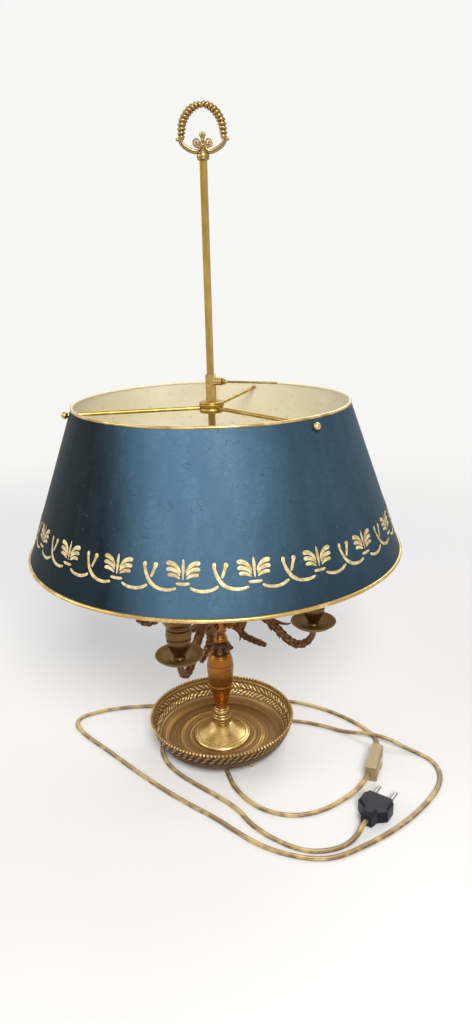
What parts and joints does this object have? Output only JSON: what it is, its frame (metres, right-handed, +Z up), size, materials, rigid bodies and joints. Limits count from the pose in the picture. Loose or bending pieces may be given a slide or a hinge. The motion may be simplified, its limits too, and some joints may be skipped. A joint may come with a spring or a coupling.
{
  "type": "bouillotte lamp",
  "caption": "Bouillotte table lamp: gallery tray, turned column, scrolled candle arms, and a painted shade that slides on a square rod under a wreath finial.",
  "frame": {"origin": "on the table, under the column's axis, at the centre of the lamp's own footprint", "axes": "+Z up along the column; the four arms lie along +X, +Y, -X and -Y; the arrow key points along +X"},
  "size_m": [0.4567, 0.4008, 0.6897],
  "materials": {
    "aged_brass": "polished cast brass, darkened in the hollows",
    "pan_brass": "dull spun brass",
    "tole_paint": "satin dark petrol-blue paint, cream inside, gold palmette border",
    "candle_cream": "matte cream",
    "holder_plastic": "black moulded",
    "bulb_glass": "clear",
    "bulb_cap_metal": "screw cap",
    "flex": "gold and brown flat twin flex",
    "switch_gold": "metallic gold moulding",
    "plug_black": "black moulding",
    "pin_metal": "nickel",
    "steel": "zinc plated",
    "bushing_plastic": "brown moulded"
  },
  "bodies": {
    "lamp": {"arm_1": "aged_brass", "arm_2": "aged_brass", "arm_3": "aged_brass", "arm_4": "aged_brass", "arm_hub": "aged_brass", "ball_feet": "aged_brass", "baluster": "aged_brass", "base_nut": "steel", "base_washer": "steel", "bulb_caps": "bulb_cap_metal", "bulb_glass_1": "bulb_glass", "bulb_glass_2": "bulb_glass", "bulb_glass_3": "bulb_glass", "bulb_glass_4": "bulb_glass", "candle_cup_1": "aged_brass", "candle_cup_2": "aged_brass", "candle_cup_3": "aged_brass", "candle_cup_4": "aged_brass", "candle_tube_1": "candle_cream", "candle_tube_2": "candle_cream", "candle_tube_3": "candle_cream", "candle_tube_4": "candle_cream", "cord_bushing": "bushing_plastic", "cord_to_plug": "flex", "cord_to_switch": "flex", "drip_pan_1": "pan_brass", "drip_pan_2": "pan_brass", "drip_pan_3": "pan_brass", "drip_pan_4": "pan_brass", "finial_collar": "aged_brass", "lamp_holder_1": "holder_plastic", "lamp_holder_2": "holder_plastic", "lamp_holder_3": "holder_plastic", "lamp_holder_4": "holder_plastic", "lamp_pipe": "aged_brass", "leaf_knob": "aged_brass", "neck_reel": "aged_brass", "pedestal_bell": "aged_brass", "plug_body": "plug_black", "plug_pins": "pin_metal", "rod_socket": "aged_brass", "stem_rod": "aged_brass", "switch_base": "switch_gold", "switch_cover": "switch_gold", "switch_screws": "steel", "tray": "aged_brass", "tray_rope_rim": "aged_brass", "wreath": "aged_brass"},
    "shade_carrier": {"shade_body": "tole_paint", "shade_top_rim": "aged_brass", "shade_bottom_rim": "aged_brass", "spider_hub": "aged_brass", "spider_rod_1": "aged_brass", "spider_rod_2": "aged_brass", "spider_rod_3": "aged_brass", "spider_knobs": "aged_brass", "carrier_sleeve": "aged_brass"},
    "arrow_key": {"arrow_key": "aged_brass"},
    "switch_rocker": {"switch_rocker": "switch_gold"}
  },
  "joints": [
    {"name": "shade_slide", "type": "slide", "parent": "lamp", "child": "shade_carrier", "axis": [0, 0, 1], "range_m": [-0.05, 0.195]},
    {"name": "key_turn", "type": "hinge", "parent": "shade_carrier", "child": "arrow_key", "pos_m": [0.0127, 0, 0.4315], "axis": [1, 0, 0], "range_deg": [0, 540]},
    {"name": "switch_rock", "type": "hinge", "parent": "lamp", "child": "switch_rocker", "pos_m": [0.1846, 0.00075, 0.0085], "axis": [0, 0, 1], "range_deg": [0, 12]}
  ]
}
